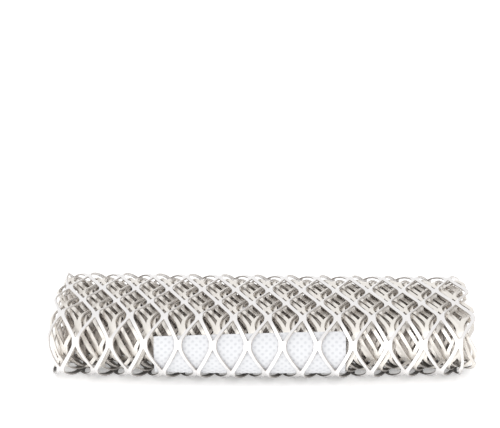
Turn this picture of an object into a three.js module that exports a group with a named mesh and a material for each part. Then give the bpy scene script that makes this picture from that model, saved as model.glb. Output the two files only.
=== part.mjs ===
// A rolled wire splint: one strip of expanded aluminium mesh wound into a flattened roll,
// with a slip of white nonwoven held behind its outermost turn.
// Millimetres. X runs along the roll, Y goes away from the front, Z is up, and the roll lies on Z = 0.
import * as THREE from 'three';

// The strip, laid flat
const STRIP_WIDTH = 95.25;
const CELL_WIDTH = 7.62;
const HALF_ROW = 7.0;
const METAL = 0.38;
const STRAND_WIDTH = 0.92;
const BOND_LENGTH = 1.6;
const LEFT_EDGE_TUCK = 1.2;

// The roll
const ROLL_HEIGHT = 16.0;
const ROLL_DEPTH = 34.0;
const TURN_CLEARANCE = 0.13;
const CORE_HEIGHT = 1.0;
const OUTER_END_BEHIND_FRONT = 21.0;
const PLAIN_ROWS = 3;
const ARC_STEP = THREE.MathUtils.degToRad(15);
const LEAST_STEP = 0.25;
const LOWER_AT_RIGHT = 1.0;
const LOWER_AT_BACK = 0.6;
const FRONT_BELLY = 2.0;
const INSIDE_SHIFT = 0.8;

// The white slip behind the outermost turn
const SLIP_LENGTH = 42.0;
const SLIP_COLUMNS = 6;
const SLIP_THICKNESS = 0.3;
const SLIP_CLEARANCE = 0.3;
const SLIP_LEFT = -23.2;
const SLIP_LOW = THREE.MathUtils.degToRad(-44);
const SLIP_HIGH = THREE.MathUtils.degToRad(50);
const SLIP_LOWER_AT_LEFT = THREE.MathUtils.degToRad(13);

// How far the outermost turn stands off the one inside it, between their middles, on each side
const SLIP_ROOM = METAL + SLIP_THICKNESS + 2 * SLIP_CLEARANCE;
const FIRST_GAP = {
  bottom: METAL + 0.42,
  front: SLIP_ROOM + 0.4,
  top: METAL + 0.42,
  back: METAL + 0.92,
};
const TURN_PITCH = METAL + TURN_CLEARANCE;

// Worked out from the sizes above
const STRANDS = 2 * Math.floor(STRIP_WIDTH / CELL_WIDTH) + 1;
const HALF_CELL = STRIP_WIDTH / STRANDS;
const HALF_BOND = BOND_LENGTH / 2;
const STRAND_SLOPE = Math.atan2(HALF_ROW - BOND_LENGTH, HALF_CELL - STRAND_WIDTH);
const STRAND_ACROSS = STRAND_WIDTH / Math.sin(STRAND_SLOPE);
const OFF_CENTRE = (LEFT_EDGE_TUCK + INSIDE_SHIFT) / 2;

// The four sides of a turn's middle line; turn 0 is the outermost
function turnSides(turn) {
  const half = METAL / 2;
  const inward = (side) => (turn === 0 ? 0 : FIRST_GAP[side] + (turn - 1) * TURN_PITCH);
  return {
    bottom: half + inward('bottom'),
    front: -ROLL_DEPTH / 2 + half + inward('front'),
    top: ROLL_HEIGHT - half - inward('top'),
    back: ROLL_DEPTH / 2 - half - inward('back'),
  };
}

// A flat run or a half round of the path, seen along +X, as a function of the length along it
function flatRun(fromY, toY, z) {
  const sense = Math.sign(toY - fromY);
  return {
    length: Math.abs(toY - fromY),
    at: (d) => ({ y: fromY + sense * d, z, ny: 0, nz: sense }),
    bends: false,
  };
}

function halfRound(centreY, centreZ, radius, side) {
  return {
    length: Math.PI * radius,
    at: (d) => {
      const angle = d / radius - Math.PI / 2;
      const ny = side * Math.cos(angle);
      const nz = -side * Math.sin(angle);
      return { y: centreY + radius * ny, z: centreZ + radius * nz, ny, nz };
    },
    bends: true,
  };
}

// The path of the strip from its outer end, along the bottom to the front, up, over, down and in again
function rollPath() {
  const runs = [];
  let y = -ROLL_DEPTH / 2 + OUTER_END_BEHIND_FRONT;
  for (let turn = 0; ; turn += 1) {
    const own = turnSides(turn);
    const next = turnSides(turn + 1);
    if (next.top - next.bottom < CORE_HEIGHT) break;
    const frontRadius = (own.top - own.bottom) / 2;
    const backRadius = (own.top - next.bottom) / 2;
    const frontY = own.front + frontRadius;
    const backY = own.back - backRadius;
    runs.push(flatRun(y, frontY, own.bottom));
    runs.push(halfRound(frontY, own.bottom + frontRadius, frontRadius, -1));
    runs.push(flatRun(frontY, backY, own.top));
    runs.push(halfRound(backY, next.bottom + backRadius, backRadius, 1));
    y = backY;
  }
  return runs;
}

const PATH = rollPath();
const STRIP_LENGTH = PATH.reduce((sum, run) => sum + run.length, 0);
const FIRST_TURN_LENGTH = PATH.slice(0, 4).reduce((sum, run) => sum + run.length, 0);

function placeAlong(along) {
  let rest = Math.min(Math.max(along, 0), STRIP_LENGTH);
  for (const run of PATH) {
    if (rest <= run.length) return run.at(rest);
    rest -= run.length;
  }
  const last = PATH[PATH.length - 1];
  return last.at(last.length);
}

// Rows of bonds, half a cell apart; even rows reach the left edge and odd rows the right one
const rowMiddle = (row) => HALF_BOND + row * HALF_ROW;
const LAST_ROW = Math.floor((STRIP_LENGTH - BOND_LENGTH) / HALF_ROW);
const OPEN_FROM = PLAIN_ROWS;
const OPEN_TO = Math.floor((FIRST_TURN_LENGTH - HALF_BOND) / HALF_ROW);

// A sheet drawn flat in (across, along) as points and triangles, then bent onto a path with a thickness
class Sheet {
  constructor() {
    this.points = [];
    this.triangles = [];
    this.known = new Map();
  }

  point(across, along) {
    const key = `${across.toFixed(4)} ${along.toFixed(4)}`;
    if (!this.known.has(key)) {
      this.known.set(key, this.points.length);
      this.points.push([across, along]);
    }
    return this.known.get(key);
  }

  // A band between two rows of points, each from left to right, filled with triangles
  band(low, high) {
    const across = (p) => (p === undefined ? Infinity : this.points[p][0]);
    let i = 0;
    let j = 0;
    while (i < low.length - 1 || j < high.length - 1) {
      if (across(low[i + 1]) <= across(high[j + 1])) {
        this.triangles.push([low[i], low[i + 1], high[j]]);
        i += 1;
      } else {
        this.triangles.push([low[i], high[j + 1], high[j]]);
        j += 1;
      }
    }
  }

  // The closed solid: the sheet on both faces, and a wall along every edge that one triangle uses
  solid(thickness, place) {
    const positions = [];
    for (const side of [0.5, -0.5]) {
      for (const [across, along] of this.points) positions.push(...place(across, along, side * thickness));
    }
    const under = this.points.length;
    const index = [];
    const edges = new Set();
    for (const [a, b, c] of this.triangles) {
      index.push(a, b, c, under + a, under + c, under + b);
      for (const [from, to] of [[a, b], [b, c], [c, a]]) edges.add(`${from} ${to}`);
    }
    for (const edge of edges) {
      const [from, to] = edge.split(' ').map(Number);
      if (edges.has(`${to} ${from}`)) continue;
      index.push(from, under + from, under + to, from, under + to, to);
    }
    const geometry = new THREE.BufferGeometry();
    geometry.setAttribute('position', new THREE.Float32BufferAttribute(positions, 3));
    geometry.setIndex(index);
    geometry.computeVertexNormals();
    return geometry;
  }
}

// The strip's zigzag edges at a length along it
function edgesAt(along) {
  const row = Math.min(Math.max(Math.floor((along - HALF_BOND) / HALF_ROW), 0), LAST_ROW);
  const share = (along - rowMiddle(row) - HALF_BOND) / (HALF_ROW - BOND_LENGTH);
  const toNext = Math.min(Math.max(share, 0), 1);
  const left = (r) => (r % 2 === 0 ? LEFT_EDGE_TUCK : HALF_CELL - STRAND_ACROSS);
  const right = (r) => (r % 2 === 0 ? STRIP_WIDTH - HALF_CELL + STRAND_ACROSS : STRIP_WIDTH);
  const mix = (side) => side(row) * (1 - toNext) + side(row + 1) * toNext;
  return [mix(left), mix(right)];
}

// Bonds of a row: the middle of each, and which halves it has
function bondsOf(row) {
  const bonds = [];
  for (let k = row % 2; k <= STRANDS; k += 2) {
    bonds.push({ middle: k * HALF_CELL, left: k > 0, right: k < STRANDS });
  }
  return bonds;
}

// The points of one row of bonds at the length where its strands meet or leave it
function bondLine(sheet, row, along) {
  return bondsOf(row).map(({ middle, left, right }) => {
    const core = left ? middle : LEFT_EDGE_TUCK;
    return {
      middle,
      left: left ? sheet.point(core - STRAND_ACROSS, along) : null,
      core: sheet.point(core, along),
      right: right ? sheet.point(core + STRAND_ACROSS, along) : null,
    };
  });
}

const pointsOf = (bond) => [bond.left, bond.core, bond.right].filter((p) => p !== null);

// Half way along a strand, so that the strand follows a bend
function midPoint(sheet, a, b) {
  const [p, q] = [sheet.points[a], sheet.points[b]];
  return sheet.point((p[0] + q[0]) / 2, (p[1] + q[1]) / 2);
}

// One row of open cells: its strands rise from the bonds of one row to those of the next
function addStrands(sheet, low, high) {
  const strands = [];
  for (const bond of low) {
    for (const side of ['left', 'right']) {
      if (bond[side] === null) continue;
      const sense = side === 'left' ? -1 : 1;
      const target = high.find((b) => Math.abs(b.middle - bond.middle - sense * HALF_CELL) < HALF_CELL / 2);
      const foot = [bond.core, bond[side]];
      const head = [target[side === 'left' ? 'right' : 'left'], target.core];
      const waist = foot.map((p, i) => midPoint(sheet, p, head[i]));
      for (const line of [foot, head, waist]) if (sense < 0) line.reverse();
      sheet.band(foot, waist);
      sheet.band(waist, head);
      strands.push({ foot, waist, head });
    }
  }
  return strands.sort((a, b) => sheet.points[a.waist[0]][0] - sheet.points[b.waist[0]][0]);
}

// Metal left between neighbouring strands of one row where the strip is plain below or above it
function fillBetween(sheet, strands, plainBelow) {
  for (let i = 1; i < strands.length; i += 1) {
    const [left, right] = [strands[i - 1], strands[i]];
    const meetAbove = left.head[1] === right.head[0];
    if (meetAbove !== plainBelow) continue;
    const lines = ['foot', 'waist', 'head'].map((part) => [left[part][1], right[part][0]]);
    const distinct = lines.map((line) => (line[0] === line[1] ? [line[0]] : line));
    sheet.band(distinct[0], distinct[1]);
    sheet.band(distinct[1], distinct[2]);
  }
}

// Lengths along the plain stretches where the path bends or the edges turn
function plainStations(from, to) {
  const stations = [];
  for (let row = 0; row <= LAST_ROW; row += 1) {
    stations.push(rowMiddle(row) - HALF_BOND, rowMiddle(row) + HALF_BOND);
  }
  let start = 0;
  for (const run of PATH) {
    const steps = run.bends ? Math.round(Math.PI / ARC_STEP) : 1;
    for (let step = 0; step <= steps; step += 1) stations.push(start + (run.length * step) / steps);
    start += run.length;
  }
  const kept = [from];
  for (const s of stations.sort((a, b) => a - b)) {
    if (s - kept[kept.length - 1] > LEAST_STEP && to - s > LEAST_STEP) kept.push(s);
  }
  return [...kept, to];
}

function addPlain(sheet, from, to, firstLine, lastLine) {
  const stations = plainStations(from, to);
  let line = firstLine;
  for (let i = 1; i < stations.length; i += 1) {
    const ends = edgesAt(stations[i]).map((across) => sheet.point(across, stations[i]));
    const next = i === stations.length - 1 && lastLine ? lastLine : ends;
    sheet.band(line ?? edgesAt(stations[0]).map((across) => sheet.point(across, stations[0])), next);
    line = next;
  }
}

// The roll's top sinks a little towards its right end and its back, and its front bellies out over the slip
function settle(x, y, z) {
  const share = x / STRIP_WIDTH;
  const belly = FRONT_BELLY * Math.max(0, 1 - 4 * share * share);
  const forward = belly * (0.5 - y / ROLL_DEPTH);
  const lower = LOWER_AT_RIGHT * (share + 0.5) + LOWER_AT_BACK * (y / ROLL_DEPTH + 0.5);
  return [x - OFF_CENTRE, y - forward + FRONT_BELLY / 2, z * (1 - lower / ROLL_HEIGHT)];
}

// The turns inside sit a little further right than the outermost one
function shiftAt(along) {
  const share = (along - FIRST_TURN_LENGTH) / FIRST_TURN_LENGTH;
  return INSIDE_SHIFT * Math.min(Math.max(share, 0), 1);
}

// The whole strip: plain under the roll, open cells round its outermost turn, plain turns inside
function stripSheet() {
  const sheet = new Sheet();
  const firstAlong = rowMiddle(OPEN_FROM - 1) + HALF_BOND;
  const lastAlong = rowMiddle(OPEN_TO + 1) - HALF_BOND;
  let low = bondLine(sheet, OPEN_FROM - 1, firstAlong);
  addPlain(sheet, 0, firstAlong, null, low.flatMap(pointsOf));
  for (let row = OPEN_FROM; row <= OPEN_TO + 1; row += 1) {
    const high = bondLine(sheet, row, rowMiddle(row) - HALF_BOND);
    const strands = addStrands(sheet, low, high);
    if (row === OPEN_FROM) fillBetween(sheet, strands, true);
    if (row === OPEN_TO + 1) {
      fillBetween(sheet, strands, false);
      addPlain(sheet, lastAlong, STRIP_LENGTH, high.flatMap(pointsOf), null);
      return sheet;
    }
    const top = bondLine(sheet, row, rowMiddle(row) + HALF_BOND);
    high.forEach((bond, i) => sheet.band(pointsOf(bond), pointsOf(top[i])));
    low = top;
  }
  return sheet;
}

const aluminium = new THREE.MeshStandardMaterial({ color: 0xc4c2bf, roughness: 0.38, metalness: 1.0 });
const nonwoven = new THREE.MeshStandardMaterial({ color: 0xf1f3f6, roughness: 0.9, metalness: 0.0 });

const group = new THREE.Group();

function addPiece(name, geometry, material) {
  const mesh = new THREE.Mesh(geometry, material);
  mesh.name = name;
  group.add(mesh);
}

// The mesh strip, one piece of metal
addPiece(
  'mesh_strip',
  stripSheet().solid(METAL, (across, along, off) => {
    const { y, z, ny, nz } = placeAlong(along);
    return settle(across - STRIP_WIDTH / 2 + shiftAt(along), y + ny * off, z + nz * off);
  }),
  aluminium,
);

// The slip, an arc that follows the inside of the outermost turn's front; its top edge falls away to the left
function slipSheet() {
  const sheet = new Sheet();
  const steps = Math.ceil((SLIP_HIGH - SLIP_LOW) / (ARC_STEP / 2));
  let line = null;
  for (let step = 0; step <= steps; step += 1) {
    const next = [];
    for (let column = 0; column <= SLIP_COLUMNS; column += 1) {
      next.push(sheet.point((SLIP_LENGTH * column) / SLIP_COLUMNS, step / steps));
    }
    if (line) sheet.band(line, next);
    line = next;
  }
  return sheet;
}

function slipAngle(across, share) {
  const left = 1 - across / SLIP_LENGTH;
  return SLIP_LOW + (SLIP_HIGH - SLIP_LOWER_AT_LEFT * left ** 1.5 - SLIP_LOW) * share;
}

const outerTurn = turnSides(0);
const frontRadius = (outerTurn.top - outerTurn.bottom) / 2;
const slipRadius = frontRadius - METAL / 2 - SLIP_CLEARANCE - SLIP_THICKNESS / 2;
addPiece(
  'white_slip',
  slipSheet().solid(SLIP_THICKNESS, (across, share, off) => {
    const angle = slipAngle(across, share);
    return settle(
      SLIP_LEFT + across,
      outerTurn.front + frontRadius - (slipRadius + off) * Math.cos(angle),
      outerTurn.bottom + frontRadius + (slipRadius + off) * Math.sin(angle),
    );
  }),
  nonwoven,
);

export default group;
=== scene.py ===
# A rolled wire splint: expanded aluminium mesh in a flattened roll, with a white slip behind its front
import math

import bpy
from mathutils import Matrix, Vector


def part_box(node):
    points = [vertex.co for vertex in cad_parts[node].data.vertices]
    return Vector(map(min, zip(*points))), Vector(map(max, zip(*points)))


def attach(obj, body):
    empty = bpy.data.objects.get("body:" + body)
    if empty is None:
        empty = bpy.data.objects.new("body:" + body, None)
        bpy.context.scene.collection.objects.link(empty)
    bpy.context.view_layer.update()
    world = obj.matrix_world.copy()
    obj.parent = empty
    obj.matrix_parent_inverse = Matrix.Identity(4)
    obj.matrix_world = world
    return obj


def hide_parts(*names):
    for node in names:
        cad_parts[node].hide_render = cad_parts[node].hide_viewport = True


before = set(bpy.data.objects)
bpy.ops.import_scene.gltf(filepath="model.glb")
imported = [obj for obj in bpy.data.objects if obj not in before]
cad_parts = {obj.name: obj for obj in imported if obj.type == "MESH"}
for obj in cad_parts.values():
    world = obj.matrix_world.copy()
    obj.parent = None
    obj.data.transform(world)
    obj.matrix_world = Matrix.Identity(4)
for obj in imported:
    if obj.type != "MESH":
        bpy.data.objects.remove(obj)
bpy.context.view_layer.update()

MM = 0.001

# The roll; its depth and the slip's place are taken from the frame
STRIP_LOW, STRIP_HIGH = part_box("mesh_strip")
SLIP_LOW, SLIP_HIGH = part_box("white_slip")
FRONT_BELLY = 2.0 * MM
ROLL_HEIGHT = 16.0 * MM
ROLL_DEPTH = STRIP_HIGH[1] - STRIP_LOW[1] - FRONT_BELLY
LOWER_AT_RIGHT = 1.0 * MM
LOWER_AT_BACK = 1.25 * MM
FLOOR_LIFT = 0.28 * MM
OFF_CENTRE = 1.0 * MM

# The strip laid flat
STRIP_WIDTH = 95.25 * MM
CELL = 7.62 * MM
ROW = 7.0 * MM
METAL = 0.38 * MM
STRAND = 0.72 * MM
BOND = 1.5 * MM
EDGE_TUCK = 1.2 * MM
COLUMNS = 12.5

# The turns of the roll
TURN_PITCH = 0.51 * MM
CORE_HEIGHT = 1.0 * MM
OUTER_END_BEHIND_FRONT = 21.0 * MM
FIRST_GAP = {"bottom": 0.8 * MM, "front": 1.68 * MM, "top": 0.8 * MM, "back": 1.3 * MM}

STRAND_SLOPE = math.atan2(ROW - BOND, CELL / 2 - STRAND)
ACROSS = STRAND / math.sin(STRAND_SLOPE)


# The camera, set first: it looks down on the roll 26 degrees below the horizon (angles here in degrees)
FRAME_WIDTH_PX = 500
FRAME_MIDDLE_X, FRAME_MIDDLE_Y = 250, 214
SENSOR_MM = 36.0
FOCAL_PX = 1588.0
DISTANCE = 363 * MM
AXIS_PITCH = 22.46
CAMERA_ROLL = 0.062
ROLL_MIDDLE_X, ROLL_MIDDLE_Y = 263.95, 322.57


def make_camera():
    data = bpy.data.cameras.new("camera")
    camera = bpy.data.objects.new("camera", data)
    bpy.context.scene.collection.objects.link(camera)
    bpy.context.scene.camera = camera
    data.sensor_width = SENSOR_MM
    data.lens = FOCAL_PX * SENSOR_MM / FRAME_WIDTH_PX
    data.clip_start = 0.01
    data.clip_end = 20.0
    pitch = math.radians(AXIS_PITCH)
    forward = Vector((0.0, math.cos(pitch), -math.sin(pitch)))
    up = Vector((0.0, math.sin(pitch), math.cos(pitch)))
    pixel = DISTANCE / FOCAL_PX
    roll_middle = Vector((0.0, 0.0, ROLL_HEIGHT / 2))
    across = (ROLL_MIDDLE_X - FRAME_MIDDLE_X) * pixel
    below = (ROLL_MIDDLE_Y - FRAME_MIDDLE_Y) * pixel
    camera.location = roll_middle - forward * DISTANCE - Vector((across, 0, 0)) + up * below
    roll = Matrix.Rotation(math.radians(CAMERA_ROLL), 3, "Z")
    camera.rotation_euler = (forward.to_track_quat("-Z", "Y").to_matrix() @ roll).to_euler()


make_camera()


# Small helpers for work in object and edit mode
def only(obj):
    bpy.ops.object.select_all(action="DESELECT")
    obj.select_set(True)
    bpy.context.view_layer.objects.active = obj


def edit(mode):
    bpy.ops.object.mode_set(mode="EDIT")
    bpy.ops.mesh.select_mode(type=mode)


def done():
    bpy.ops.object.mode_set(mode="OBJECT")


def choose(obj, kind, test):
    """In edit mode: selects the vertices that pass the test, or the edges whose middle does."""
    done()
    mesh = obj.data
    for part in (mesh.vertices, mesh.edges, mesh.polygons):
        part.foreach_set("select", [False] * len(part))
    if kind == "EDGE":
        for edge in mesh.edges:
            a, b = (mesh.vertices[i].co for i in edge.vertices)
            edge.select = test((a + b) / 2)
    else:
        for vertex in mesh.vertices:
            vertex.select = test(vertex.co)
    edit(kind)


def choose_all():
    bpy.ops.mesh.select_all(action="SELECT")


def modifier(obj, kind, **settings):
    made = obj.modifiers.new(kind.lower(), kind)
    for name, value in settings.items():
        setattr(made, name, value)


def apply_all(obj):
    only(obj)
    for made in list(obj.modifiers):
        bpy.ops.object.modifier_apply(modifier=made.name)


def turn_by(obj, matrix):
    """Turns an object by a matrix and applies the turn to its mesh."""
    only(obj)
    obj.rotation_mode = "XYZ"
    obj.rotation_euler = matrix.to_euler()
    bpy.ops.object.transform_apply(location=True, rotation=True, scale=True)


# The path of the strip in the roll's cross-section, drawn as (y, z) points from the outer end inwards
def turn_sides(turn):
    def inward(side):
        return 0.0 if turn == 0 else FIRST_GAP[side] + (turn - 1) * TURN_PITCH
    return {
        "bottom": METAL / 2 + inward("bottom"),
        "front": -ROLL_DEPTH / 2 + METAL / 2 + inward("front"),
        "top": ROLL_HEIGHT - METAL / 2 - inward("top"),
        "back": ROLL_DEPTH / 2 - METAL / 2 - inward("back"),
    }


ROUND_STEPS = 48


def half_round(centre_y, centre_z, radius, side):
    """From the bottom up at the front (side -1), or from the top down at the back (side 1)."""
    points = []
    for step in range(ROUND_STEPS + 1):
        angle = math.pi * step / ROUND_STEPS - math.pi / 2
        y = centre_y + side * radius * math.cos(angle)
        points.append((y, centre_z - side * radius * math.sin(angle)))
    return points


def roll_path():
    """The path's points, and the length along it of the front of each turn."""
    points = [(-ROLL_DEPTH / 2 + OUTER_END_BEHIND_FRONT, METAL / 2)]
    fronts = []
    turn = 0
    while True:
        own, inner = turn_sides(turn), turn_sides(turn + 1)
        if inner["top"] - inner["bottom"] < CORE_HEIGHT:
            break
        front_radius = (own["top"] - own["bottom"]) / 2
        back_radius = (own["top"] - inner["bottom"]) / 2
        points += half_round(own["front"] + front_radius, own["bottom"] + front_radius, front_radius, -1)
        fronts.append(path_length(points) - math.pi * front_radius / 2)
        points += half_round(own["back"] - back_radius, inner["bottom"] + back_radius, back_radius, 1)
        turn += 1
    return points, fronts


def path_length(points):
    return sum(math.dist(a, b) for a, b in zip(points, points[1:]))


PATH, FRONTS = roll_path()
STRIP_LENGTH = path_length(PATH)
LAST_ROW = int((STRIP_LENGTH - BOND) / ROW)


def make_path_curve():
    data = bpy.data.curves.new("roll_path", "CURVE")
    data.dimensions = "2D"
    spline = data.splines.new("POLY")
    spline.points.add(len(PATH) - 1)
    for point, (y, z) in zip(spline.points, PATH):
        point.co = (y, z, 0.0, 1.0)
    curve = bpy.data.objects.new("roll_path", data)
    bpy.context.scene.collection.objects.link(curve)
    return curve


# The mesh as it is slit and stretched: a bond with four half strands, all leaning the same way.
# Each half strand is pushed out in three steps, given as shares of its reach across and along.
STRAND_STEPS = ((0.16, 0.22), (0.38, 0.36), (0.46, 0.42))
MERGE = 0.02 * MM
CUT_SNAP = 0.01 * MM
SLIVER = 0.03 * MM
HAIR = 1e-7


def bond_with_strands(lean):
    """One bond, flat in X (across) and Y (along), with its half strands reaching a quarter cell out."""
    bpy.ops.mesh.primitive_plane_add(size=1.0, location=(0, 0, 0))
    piece = bpy.context.object
    edit("VERT")
    bpy.ops.transform.resize(value=(2 * ACROSS, BOND, 1.0))
    bpy.ops.mesh.subdivide(number_cuts=1)
    slope = math.tan(lean)
    reach_x = CELL / 4 - ACROSS / 2
    reach_y = ROW / 2 - BOND / 2
    for above in (1, -1):
        for right in (1, -1):
            spot = Vector((right * ACROSS / 2, above * BOND / 2, 0))
            choose(piece, "EDGE", lambda middle: (middle - spot).length < ACROSS / 4)
            for share_x, share_y in STRAND_STEPS:
                step = (right * reach_x * share_x, above * reach_y * share_y, 0)
                bpy.ops.mesh.extrude_region_move(TRANSFORM_OT_translate={"value": step})
    done()
    for vertex in piece.data.vertices:
        vertex.co.z = lean_height(vertex.co, slope, reach_x, reach_y)
    return piece


def lean_height(co, slope, reach_x, reach_y):
    """The bond leans as one plate; each strand leans alike and is back on the middle at its half way."""
    if abs(co.y) <= BOND / 2 + HAIR:
        return co.x * slope
    beyond = (abs(co.y) - BOND / 2) / reach_y
    out = 0.0
    for share_x, share_y in STRAND_STEPS:
        out += share_x * min(max(beyond, 0.0), share_y) / share_y
        beyond -= share_y
    out = min(out, 1.0)
    side = 1.0 if co.x > 0 else -1.0
    centre = side * (ACROSS / 2 + reach_x * out)
    return side * ACROSS / 2 * slope * (1.0 - out) + (co.x - centre) * slope


def flat_strip(name, first_row, last_row, lean):
    """The net between the middles of two rows of bonds, flat, with the zigzag edges that shearing leaves."""
    piece = bond_with_strands(lean)
    piece.name = piece.data.name = name
    only(piece)
    edit("VERT")
    choose_all()
    bpy.ops.mesh.duplicate_move(TRANSFORM_OT_translate={"value": (CELL / 2, ROW, 0)})
    choose_all()
    bpy.ops.mesh.remove_doubles(threshold=MERGE)
    done()
    start = first_row - first_row % 2 - 2
    repeats = math.ceil((last_row - start) / 2) + 2
    for count, step in ((math.ceil(COLUMNS) + 2, (CELL, 0, 0)), (repeats, (0, 2 * ROW, 0))):
        modifier(piece, "ARRAY", count=count, use_relative_offset=False, use_constant_offset=True,
                 constant_offset_displace=step, use_merge_vertices=True, merge_threshold=MERGE)
    apply_all(piece)
    edit("VERT")
    choose_all()
    bpy.ops.transform.translate(value=(-CELL, BOND / 2 + start * ROW, 0))
    cuts = (
        ((0, 0, 0), (-1, 0, 0)),
        ((STRIP_WIDTH, 0, 0), (1, 0, 0)),
        ((0, BOND / 2 + first_row * ROW, 0), (0, -1, 0)),
        ((0, BOND / 2 + last_row * ROW, 0), (0, 1, 0)),
    )
    for place, outward in cuts:
        choose_all()
        bpy.ops.mesh.bisect(plane_co=place, plane_no=outward, clear_outer=True, threshold=CUT_SNAP)
    choose_all()
    bpy.ops.mesh.remove_doubles(threshold=SLIVER)
    edge_zone = CELL / 2 - ACROSS
    choose(piece, "VERT", lambda co: co.x < edge_zone - CUT_SNAP)
    squeeze = 1 - EDGE_TUCK / edge_zone
    bpy.ops.transform.resize(value=(squeeze, 1, 1), center_override=(edge_zone, 0, 0))
    done()
    return piece


# A soft strip isn't wound evenly. By turn: the row at its front, its sideways shift, spread and slant, and
# how far its two ends stand back. Rows keep their pitch over front and top: each pair of KNOTS is a number
# of rows after the front's own row, and the millimetres along the path where it lies. The tables pass from
# one turn to the next under the roll, between two shares of a lap before the front.
ROW_AT_FRONT = (3.532, 15.07, 24.95, 35.95, 45.5, 55.0, 64.0, 72.6, 80.8, 88.4, 95.7, 102.4, 108.7)
SIDE_SHIFT_MM = (0.0, -0.3, 1.1, -0.5, 0.6, 0.1, 0.7, 0.2, 0.5, 0.0)
SPREAD_MM = (0.0, 0.6, 0.6, 1.1, 0.5, 0.5, 0.3, 0.0, 0.0, 0.0)
SLANT_ROWS = (0.0, 0.16, 0.16, 0.28, 0.2, 0.1, 0.0, 0.0, 0.0, 0.0)
LEFT_SET_BACK_MM = (0.0, 0.3, 0.6, 0.9, 1.2, 1.5, 1.8)
RIGHT_SET_BACK_MM = (0.0, -0.35, -0.2, 0.1, 0.4, 0.8, 1.3)
END_ZONE = 10.0 * MM
KNOTS = ((-1.5, -12.0), (0.5, 3.5), (4, 28.0))
ROWS_BEFORE_START = 2
START_GAP = 0.2
PATH_END_MARGIN = 0.02 * MM
PASS_START, PASS_END = 0.3, 0.1


def smooth_step(low, high, value):
    share = min(max((value - low) / (high - low), 0.0), 1.0)
    return share * share * (3 - 2 * share)


def winding_knots():
    """Pairs of a length along the strip and a length along the path."""
    start = FRONTS[0] - (ROW_AT_FRONT[0] + ROWS_BEFORE_START + START_GAP) * ROW
    knots = [(-ROWS_BEFORE_START * ROW, start)]
    for front, row in zip(FRONTS, ROW_AT_FRONT):
        for rows, along in KNOTS:
            if front + along * MM < STRIP_LENGTH - 2 * ROW:
                knots.append((BOND / 2 + (row + rows) * ROW, front + along * MM))
    knots.append((knots[-1][0] + STRIP_LENGTH - knots[-1][1], STRIP_LENGTH))
    return knots


def between(knots, value):
    """Reads a value from a table of pairs, in straight lines from one to the next."""
    for (a, fa), (b, fb) in zip(knots, knots[1:]):
        if value <= b:
            break
    return fa + (fb - fa) * (value - a) / (b - a)


def by_turn(table, path_place):
    """A table's value for the turn that lies at a place along the path, passing over on the underside."""
    turn = 0
    while turn + 1 < len(FRONTS):
        lap = FRONTS[turn + 1] - FRONTS[turn]
        if path_place <= FRONTS[turn + 1] - PASS_START * lap:
            break
        turn += 1
    if turn == 0:
        return table[0]
    lap = FRONTS[turn] - FRONTS[turn - 1]
    share = smooth_step(FRONTS[turn] - PASS_START * lap, FRONTS[turn] - PASS_END * lap, path_place)
    last = table[min(turn - 1, len(table) - 1)]
    return last + (table[min(turn, len(table) - 1)] - last) * share


# The outermost turn is dragged to the left where it passes over the slip, as pairs of a row and a shift.
# Two of its points are bent in, each given by its row, the width that bends and how far its tip comes in.
DRAG_MM = ((2, -0.5), (3, -0.6), (4, -0.8), (5, -0.05), (6, 0.3), (7, 0.3), (8, 0.1), (9, 0.0))
DRAG_AT_ENDS = 0.1
BENT_RIGHT_ROW, BENT_RIGHT_WIDTH, BENT_RIGHT_MM = 3, 5.5 * MM, 3.0
BENT_LEFT_ROW, BENT_LEFT_WIDTH, BENT_LEFT_MM = 8, 5.0 * MM, 2.0


def drag(across, row):
    first, last = DRAG_MM[0][0], DRAG_MM[-1][0]
    if row >= last:
        return 0.0
    shift = between(DRAG_MM, max(row, first))
    if shift < 0:
        shift *= DRAG_AT_ENDS + (1 - DRAG_AT_ENDS) * belly_share(across / STRIP_WIDTH - 0.5)
    right = smooth_step(STRIP_WIDTH - BENT_RIGHT_WIDTH, STRIP_WIDTH, across)
    left = 1 - smooth_step(0.0, BENT_LEFT_WIDTH, across)
    shift -= BENT_RIGHT_MM * right * max(0.0, 1 - abs(row - BENT_RIGHT_ROW))
    shift += BENT_LEFT_MM * left * max(0.0, 1 - abs(row - BENT_LEFT_ROW))
    return shift * MM


def belly_share(share):
    """1 in the middle of the width and 0 at its two ends."""
    return max(0.0, 1 - 4 * share * share)


# Low on its front the second turn lies slack: it has slid back along the path and to the right
SLACK_FROM, SLACK_FULL = FRONTS[1] - 16 * MM, FRONTS[1] - 9 * MM
SLACK_UNTIL, SLACK_GONE = FRONTS[1] + 2 * MM, FRONTS[1] + 9 * MM
SLACK_BACK = 0.42 * ROW
SLACK_RIGHT_MM = 1.7


def lay_on_turns(piece):
    """Moves the flat strip's rows to where they lie along the path, and its turns sideways."""
    knots = winding_knots()
    for vertex in piece.data.vertices:
        vertex.co.x += drag(vertex.co.x, (vertex.co.y - BOND / 2) / ROW)
        place = between(knots, vertex.co.y)
        share = vertex.co.x / STRIP_WIDTH - 0.5
        slack = smooth_step(SLACK_FROM, SLACK_FULL, place) * (1 - smooth_step(SLACK_UNTIL, SLACK_GONE, place))
        place -= SLACK_BACK * slack
        place -= by_turn(SLANT_ROWS, place) * share * ROW
        vertex.co.y = min(max(place, PATH_END_MARGIN), STRIP_LENGTH - PATH_END_MARGIN)
        spread = by_turn(SPREAD_MM, place) * share
        slide = (by_turn(SIDE_SHIFT_MM, place) + spread + SLACK_RIGHT_MM * slack) * MM
        left = 1 - smooth_step(0, END_ZONE, vertex.co.x)
        right = smooth_step(STRIP_WIDTH - END_ZONE, STRIP_WIDTH, vertex.co.x)
        ends = (left * by_turn(LEFT_SET_BACK_MM, place) - right * by_turn(RIGHT_SET_BACK_MM, place)) * MM
        vertex.co.x += slide * (1 - left - right) + ends


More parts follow.
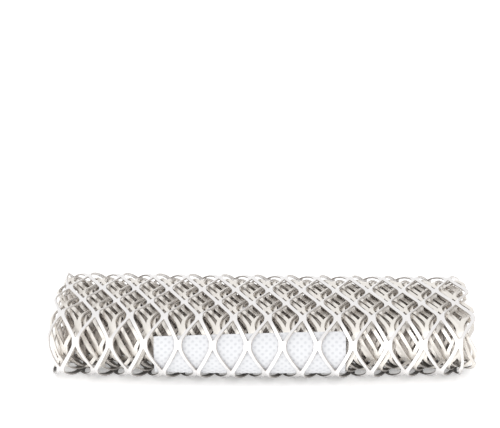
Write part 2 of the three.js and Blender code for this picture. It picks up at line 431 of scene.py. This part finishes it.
def settle(co):
    """Bellies the front over the slip, sinks the top to the right and back, and lifts the underside."""
    share = co.x / STRIP_WIDTH
    forward = FRONT_BELLY * belly_share(share) * (0.5 - co.y / ROLL_DEPTH)
    lower = LOWER_AT_RIGHT * (share + 0.5) + LOWER_AT_BACK * (co.y / ROLL_DEPTH + 0.5)
    z = co.z * (1 - lower / ROLL_HEIGHT) + FLOOR_LIFT * max(0.0, 1 - co.z / ROLL_HEIGHT) ** 2
    return co.x - OFF_CENTRE, co.y - forward + FRONT_BELLY / 2, z


def settle_all(piece):
    for vertex in piece.data.vertices:
        vertex.co = settle(vertex.co)


def roll_up(piece, path):
    """Rolls the flat strip onto the path, its width along X."""
    lay_on_turns(piece)
    only(piece)
    edit("VERT")
    choose_all()
    bpy.ops.transform.translate(value=(-STRIP_WIDTH / 2, 0, 0))
    done()
    to_curve = Matrix(((0, 1, 0), (0, 0, 1), (1, 0, 0)))
    turn_by(piece, to_curve)
    modifier(piece, "CURVE", object=path, deform_axis="POS_X")
    apply_all(piece)
    turn_by(piece, to_curve.transposed())
    settle_all(piece)


# The nets: the strip's first rows make the outermost turn, and the rest is split between inner and core turns
OUTER_ROWS = 13
OUTER_LEAN = math.radians(22)
INNER_LEAN = math.radians(20)
INNER_METAL = 0.32 * MM
BEVEL_WIDTH = 0.07 * MM
BEVEL_ANGLE = math.radians(50)
NET_SMOOTH_ANGLE = math.radians(38)


def make_net(name, first_row, last_row, lean, fine, path, materials):
    """A net rolled up and given its thickness; a fine one has rounded corners and bevelled edges as well."""
    piece = flat_strip(name, first_row, last_row, lean)
    for material in materials:
        piece.data.materials.append(material)
    if fine:
        modifier(piece, "SUBSURF", levels=1, render_levels=1, boundary_smooth="ALL")
        apply_all(piece)
    roll_up(piece, path)
    thickness = METAL if fine else INNER_METAL
    # The rim faces, the strands' sides, take the second material, which holds painted shade
    modifier(piece, "SOLIDIFY", thickness=thickness, offset=0.0, material_offset_rim=1)
    if fine:
        modifier(piece, "BEVEL", width=BEVEL_WIDTH, segments=1, limit_method="ANGLE",
                 angle_limit=BEVEL_ANGLE, use_clamp_overlap=True)
    apply_all(piece)
    bpy.ops.object.shade_smooth_by_angle(angle=NET_SMOOTH_ANGLE)
    return piece


# The white slip: a strip of embossed nonwoven bent round behind the front of the outermost turn
SLIP_THICKNESS = 0.3 * MM
SLIP_CLEARANCE = 0.3 * MM
SLIP_LOW_ANGLE = math.radians(-44)
SLIP_HIGH_ANGLE = math.radians(50)
SLIP_LOWER_AT_LEFT = math.radians(13)
SLIP_LOWER_CURVE = 1.5
SLIP_GRID = (210, 60)
SLIP_SMOOTH_ANGLE = math.radians(40)
DOT_PITCH = 1.7 * MM
DOT_RADIUS = 0.34 * MM
DOT_DEPTH = 0.07 * MM
DOT_FLOOR, DOT_RIM = 0.5, 1.2
DOT_GRIDS = (0.0, 0.5)


def dot_depth(across, along):
    """How deep the sheet is pressed in: two square grids of round dots, one in the gaps of the other."""
    deep = 0.0
    for offset in DOT_GRIDS:
        a, b = ((v / DOT_PITCH + offset) % 1.0 - 0.5 for v in (across, along))
        from_dot = math.hypot(a, b) * DOT_PITCH
        deep = max(deep, 1 - smooth_step(DOT_FLOOR * DOT_RADIUS, DOT_RIM * DOT_RADIUS, from_dot))
    return deep * DOT_DEPTH


def make_slip():
    """The slip, and its flat length and width."""
    outer = turn_sides(0)
    front_radius = (outer["top"] - outer["bottom"]) / 2
    centre_y = outer["front"] + front_radius
    centre_z = outer["bottom"] + front_radius
    radius = front_radius - METAL / 2 - SLIP_CLEARANCE - SLIP_THICKNESS / 2
    length = SLIP_HIGH[0] - SLIP_LOW[0]
    width = radius * (SLIP_HIGH_ANGLE - SLIP_LOW_ANGLE)
    left = SLIP_LOW[0] + OFF_CENTRE
    bpy.ops.mesh.primitive_grid_add(x_subdivisions=SLIP_GRID[0], y_subdivisions=SLIP_GRID[1], size=1.0)
    slip = bpy.context.object
    slip.name = slip.data.name = "nonwoven_slip"
    edit("VERT")
    choose_all()
    bpy.ops.transform.resize(value=(length, width, 1))
    bpy.ops.transform.translate(value=(length / 2, width / 2, 0))
    done()
    uv = slip.data.uv_layers.active or slip.data.uv_layers.new(name="flat")
    for loop in slip.data.loops:
        co = slip.data.vertices[loop.vertex_index].co
        uv.data[loop.index].uv = (co.x / DOT_PITCH, co.y / DOT_PITCH)
    for vertex in slip.data.vertices:
        across, along = vertex.co.x, vertex.co.y
        shorter = SLIP_LOWER_AT_LEFT * max(0.0, 1 - across / length) ** SLIP_LOWER_CURVE
        angle = SLIP_LOW_ANGLE + (SLIP_HIGH_ANGLE - shorter - SLIP_LOW_ANGLE) * along / width
        at = radius - dot_depth(across, along)
        vertex.co = (left + across, centre_y - at * math.cos(angle), centre_z + at * math.sin(angle))
    settle_all(slip)
    modifier(slip, "SOLIDIFY", thickness=SLIP_THICKNESS, offset=0.0)
    apply_all(slip)
    edit("FACE")
    choose_all()
    bpy.ops.mesh.normals_make_consistent(inside=False)
    done()
    bpy.ops.object.shade_smooth_by_angle(angle=SLIP_SMOOTH_ANGLE)
    return slip, (length, width)


# Shader maths: a socket that takes Python's operators
class Value:
    def __init__(self, shader, socket):
        self.shader = shader
        self.socket = socket

    def __add__(self, other):
        return self.shader.maths("ADD", self, other)

    __radd__ = __add__

    def __sub__(self, other):
        return self.shader.maths("SUBTRACT", self, other)

    def __rsub__(self, other):
        return self.shader.maths("SUBTRACT", other, self)

    def __mul__(self, other):
        return self.shader.maths("MULTIPLY", self, other)

    __rmul__ = __mul__


class Shader:
    def __init__(self, name):
        self.material = bpy.data.materials.new(name)
        self.material.use_nodes = True
        self.tree = self.material.node_tree
        self.surface = self.tree.nodes["Principled BSDF"]

    def put(self, kind, output=0, sockets=None, **settings):
        """Adds a node of a type with its settings, fills its sockets, and gives one of its outputs."""
        node = self.tree.nodes.new(kind)
        for key, value in settings.items():
            setattr(node, key, value)
        for key, value in (sockets or {}).items():
            self.feed(node.inputs[key], value)
        return Value(self, node.outputs[output])

    def feed(self, socket, value):
        if isinstance(value, Value):
            self.tree.links.new(value.socket, socket)
        else:
            socket.default_value = value

    def maths(self, operation, *values):
        return self.put("ShaderNodeMath", operation=operation, sockets=dict(enumerate(values)))

    def surface_gets(self, **values):
        """Feeds the surface's sockets, named in lower case with underscores."""
        for key, value in values.items():
            self.feed(self.surface.inputs[key.replace("_", " ").title()], value)

    def axes(self, source):
        return [self.put("ShaderNodeSeparateXYZ", axis, {0: source}) for axis in range(3)]

    def mix(self, share, low, high):
        """A colour between two, by a share from 0 to 1."""
        return self.put("ShaderNodeMix", 2, {0: share, 6: (*low, 1.0), 7: (*high, 1.0)}, data_type="RGBA")

    def fade(self, value, start, end, at_start, at_end):
        """A smooth passage between two values as the first one goes from start to end."""
        return self.put("ShaderNodeMapRange", 0, {0: value, 1: start, 2: end, 3: at_start, 4: at_end},
                        interpolation_type="SMOOTHSTEP")


# Materials, on the pieces' own coordinates in metres
# Painted shade under the roll: below the first height the aluminium's colour fades down to the second share
# of itself at the floor
UNDERSIDE_SHADE_TOP = 4.5 * MM
UNDERSIDE_SHADE_LEVEL = 0.48


def aluminium(name, light, dark, roughness):
    """Soft mill aluminium: a faint rolling grain, cloudy patches, and painted shade that greys the colour
    towards the underside.
    """
    s = Shader(name)
    place = s.put("ShaderNodeTexCoord", "Object")
    clouds = s.put("ShaderNodeTexNoise", 0,
                   {"Vector": place, "Scale": 260.0, "Detail": 4.0, "Roughness": 0.6})
    stretched = s.put("ShaderNodeMapping", 0, {"Vector": place, "Scale": (1.0, 7.0, 7.0)})
    grain = s.put("ShaderNodeTexNoise", 0, {"Vector": stretched, "Scale": 900.0, "Detail": 3.0})
    height = s.axes(place)[2]
    # Painted shade: the colour darkens towards the underside
    underside_shade = s.fade(height, 0.0, UNDERSIDE_SHADE_TOP, UNDERSIDE_SHADE_LEVEL, 1.0)
    cloudy = s.mix(clouds, dark, light)
    colour_with_underside_shade = s.put("ShaderNodeVectorMath", 0, {0: cloudy, "Scale": underside_shade}, operation="SCALE")
    relief = grain + clouds * 0.5
    s.surface_gets(
        base_color=colour_with_underside_shade,
        metallic=0.9,
        roughness=roughness + clouds * 0.16 + grain * 0.10 - 0.13,
        normal=s.put("ShaderNodeBump", 0, {"Strength": 0.25, "Distance": 0.05 * MM, "Height": relief}),
    )
    return s.material


def nonwoven(name):
    """White nonwoven: round pressed dots, a little greyer, on fine matted fibres."""
    s = Shader(name)
    across, along, _ = s.axes(s.put("ShaderNodeUVMap"))
    nearest = None
    for offset in DOT_GRIDS:
        a = s.maths("FRACT", across + offset) - 0.5
        b = s.maths("FRACT", along + offset) - 0.5
        here = s.maths("SQRT", a * a + b * b)
        nearest = here if nearest is None else s.maths("MINIMUM", nearest, here)
    rim = DOT_RADIUS / DOT_PITCH
    dots = s.fade(nearest, 0.6 * rim, 1.4 * rim, 1.0, 0.0)
    place = s.put("ShaderNodeTexCoord", "Object")
    fibres = s.put("ShaderNodeTexNoise", 0, {"Vector": place, "Scale": 2600.0, "Detail": 3.0})
    clouds = s.put("ShaderNodeTexNoise", 0, {"Vector": place, "Scale": 220.0, "Detail": 2.0})
    grey = dots * 0.30 + (1.0 - fibres) * 0.10 + clouds * 0.05
    s.surface_gets(
        base_color=s.mix(grey, (0.66, 0.665, 0.68), (0.36, 0.37, 0.40)),
        roughness=0.85,
        normal=s.put("ShaderNodeBump", 0, {"Strength": 0.3, "Distance": 0.03 * MM, "Height": fibres}),
    )
    return s.material


def dress(piece, material):
    piece.data.materials.clear()
    piece.data.materials.append(material)


# Floor and light
FLOOR_SIZE = 4.0
FLOOR_BEHIND = 0.6
WORLD_STRENGTH = 1.0
SOFTBOX_PLACE = (-0.15, -0.95, 0.50)
SOFTBOX_SIZE = (1.8, 1.0)
SOFTBOX_WATTS = 7.0


def make_stage():
    bpy.ops.mesh.primitive_plane_add(size=FLOOR_SIZE, location=(0, FLOOR_BEHIND, 0))
    floor = bpy.context.object
    floor.name = "floor"
    s = Shader("pale_floor")
    s.surface_gets(base_color=(0.93, 0.93, 0.93, 1.0), roughness=0.8,
                   emission_color=(1.0, 1.0, 1.0, 1.0), emission_strength=0.28)
    dress(floor, s.material)


def make_light():
    world = bpy.data.worlds.new("studio")
    bpy.context.scene.world = world
    world.use_nodes = True
    background = world.node_tree.nodes["Background"]
    background.inputs["Color"].default_value = (1.0, 1.0, 1.0, 1.0)
    background.inputs["Strength"].default_value = WORLD_STRENGTH
    data = bpy.data.lights.new("front_wall", "AREA")
    data.shape = "RECTANGLE"
    data.size, data.size_y = SOFTBOX_SIZE
    data.energy = SOFTBOX_WATTS
    softbox = bpy.data.objects.new("front_wall", data)
    bpy.context.scene.collection.objects.link(softbox)
    softbox.location = SOFTBOX_PLACE
    towards = Vector((0, 0, ROLL_HEIGHT / 2)) - Vector(SOFTBOX_PLACE)
    softbox.rotation_euler = towards.to_track_quat("-Z", "Y").to_euler()


# The pieces
bright = aluminium("bright_mesh", (0.92, 0.905, 0.90), (0.80, 0.785, 0.78), 0.34)
# Painted shade: the inner turns get a slightly darker, warmer copy of the same aluminium
inner_painted_shade = aluminium("inner_mesh_painted_shade", (0.92, 0.885, 0.835), (0.80, 0.765, 0.72), 0.38)
# Painted shade: the core turns get a darker copy of the same aluminium, for the shade deep inside the roll
core_painted_shade = aluminium("core_mesh_painted_shade", (0.74, 0.69, 0.64), (0.58, 0.54, 0.50), 0.45)
# Painted shade: the strands' sides, the rim faces, get a darker copy of the same aluminium
side_painted_shade = aluminium("strand_sides_painted_shade", (0.70, 0.665, 0.635), (0.54, 0.51, 0.485), 0.48)

path = make_path_curve()
half_way = OUTER_ROWS + (LAST_ROW - OUTER_ROWS) // 3
outer_net = make_net("mesh_outer_turn", 0, OUTER_ROWS, OUTER_LEAN, True, path, (bright, side_painted_shade))
inner_net = make_net("mesh_inner_turns", OUTER_ROWS, half_way, INNER_LEAN, False, path, (inner_painted_shade, side_painted_shade))
core_net = make_net("mesh_core_turns", half_way, LAST_ROW - 1, INNER_LEAN, False, path, (core_painted_shade, side_painted_shade))
bpy.data.objects.remove(path)
for net in (outer_net, inner_net, core_net):
    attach(net, "root")
    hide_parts("mesh_strip")

slip, slip_flat = make_slip()
dress(slip, nonwoven("white_nonwoven"))
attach(slip, "root")
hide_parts("white_slip")

make_stage()
make_light()
bpy.context.scene.view_settings.view_transform = "Standard"
